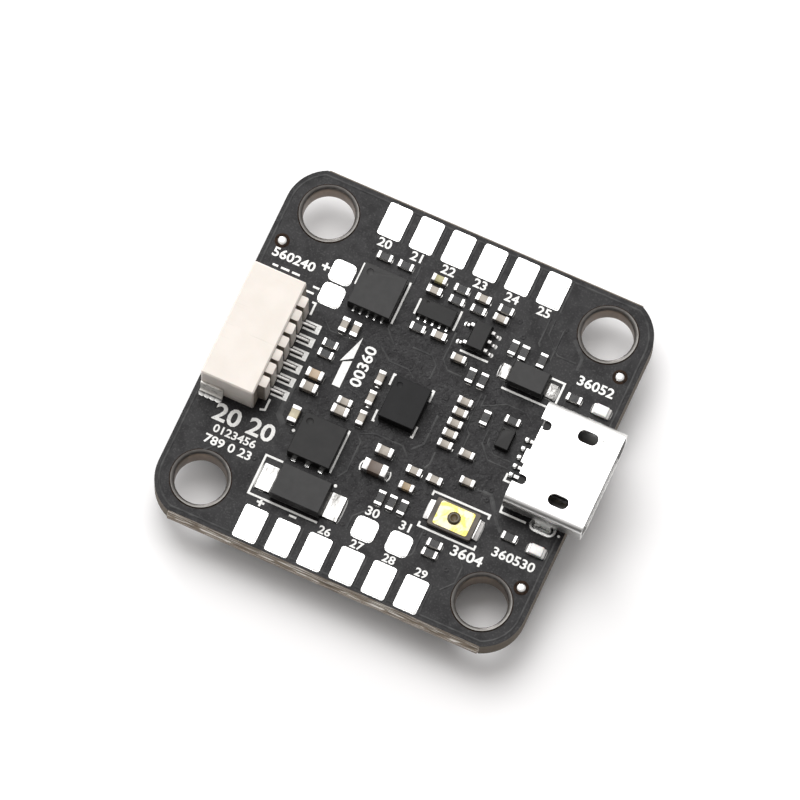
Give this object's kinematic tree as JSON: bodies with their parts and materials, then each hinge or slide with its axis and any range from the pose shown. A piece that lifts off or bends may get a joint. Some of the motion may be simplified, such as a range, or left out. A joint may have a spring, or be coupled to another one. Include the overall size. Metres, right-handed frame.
{
  "type": "flight controller board",
  "caption": "Small multirotor flight controller board with USB and harness sockets, edge solder pads and a boot button.",
  "frame": {"origin": "centre of the square of four mounting holes, half way through the board's thickness; the centroid of the whole assembly lies within 0.2 mm of it", "axes": "+X out of the USB socket, +Y to the front edge, +Z out of the component side"},
  "size_m": [0.0272, 0.0261, 0.006],
  "materials": {
    "solder_mask": "charcoal solder mask, satin, on glass-epoxy laminate",
    "tin": "bright tin plating",
    "steel": "drawn and plated sheet steel",
    "gold": "gold plating",
    "black_moulding": "black moulding compound, fine matt grain",
    "ivory_moulding": "ivory nylon, fine matt grain",
    "amber_film": "thin amber film, glossy",
    "ceramic": "sintered chip ceramic",
    "lamp_lens": "milky cast lens"
  },
  "bodies": {
    "board": {"bank_capacitor_1": "ceramic", "bank_capacitor_2": "ceramic", "bank_capacitor_3": "ceramic", "bank_capacitor_4": "ceramic", "bank_capacitor_5": "ceramic", "boot_switch_base": "black_moulding", "boot_switch_cover": "amber_film", "boot_switch_dome": "steel", "boot_switch_terminal_left": "tin", "boot_switch_terminal_right": "tin", "buck_regulator": "black_moulding", "clock_crystal": "steel", "dual_flat_chip": "black_moulding", "filter_capacitor_1": "ceramic", "filter_capacitor_2": "ceramic", "filter_capacitor_3": "ceramic", "filter_capacitor_4": "ceramic", "filter_capacitor_5": "ceramic", "filter_capacitor_6": "ceramic", "hole_barrel_front_left": "tin", "hole_barrel_front_right": "tin", "hole_barrel_rear_left": "tin", "hole_barrel_rear_right": "tin", "input_capacitor_1": "ceramic", "input_capacitor_2": "ceramic", "input_capacitor_3": "ceramic", "large_diode": "black_moulding", "main_processor": "black_moulding", "motion_sensor": "black_moulding", "output_capacitor_1": "ceramic", "output_capacitor_2": "ceramic", "output_capacitor_3": "ceramic", "pcb_laminate": "solder_mask", "power_inductor": "ceramic", "power_lamp": "lamp_lens", "quad_flat_chip": "black_moulding", "sensor_capacitor_1": "ceramic", "sensor_capacitor_2": "ceramic", "sensor_capacitor_3": "ceramic", "sensor_regulator": "black_moulding", "small_diode": "black_moulding", "socket_anchor_front": "tin", "socket_anchor_rear": "tin", "socket_housing": "ivory_moulding", "socket_pin_1": "tin", "socket_pin_2": "tin", "socket_pin_3": "tin", "socket_pin_4": "tin", "socket_pin_5": "tin", "socket_pin_6": "tin", "status_lamp": "lamp_lens", "surge_protection_chip": "black_moulding", "usb_contact_1": "gold", "usb_contact_2": "gold", "usb_contact_3": "gold", "usb_contact_4": "gold", "usb_contact_5": "gold", "usb_insulator": "black_moulding", "usb_shell": "steel"},
    "boot_button": {"boot_switch_plunger": "black_moulding"}
  },
  "joints": [
    {"name": "boot_button_press", "type": "slide", "parent": "board", "child": "boot_button", "axis": [0, 0, -1], "range_m": [0, 0.00013], "deforming": ["boot_switch_dome"]}
  ]
}
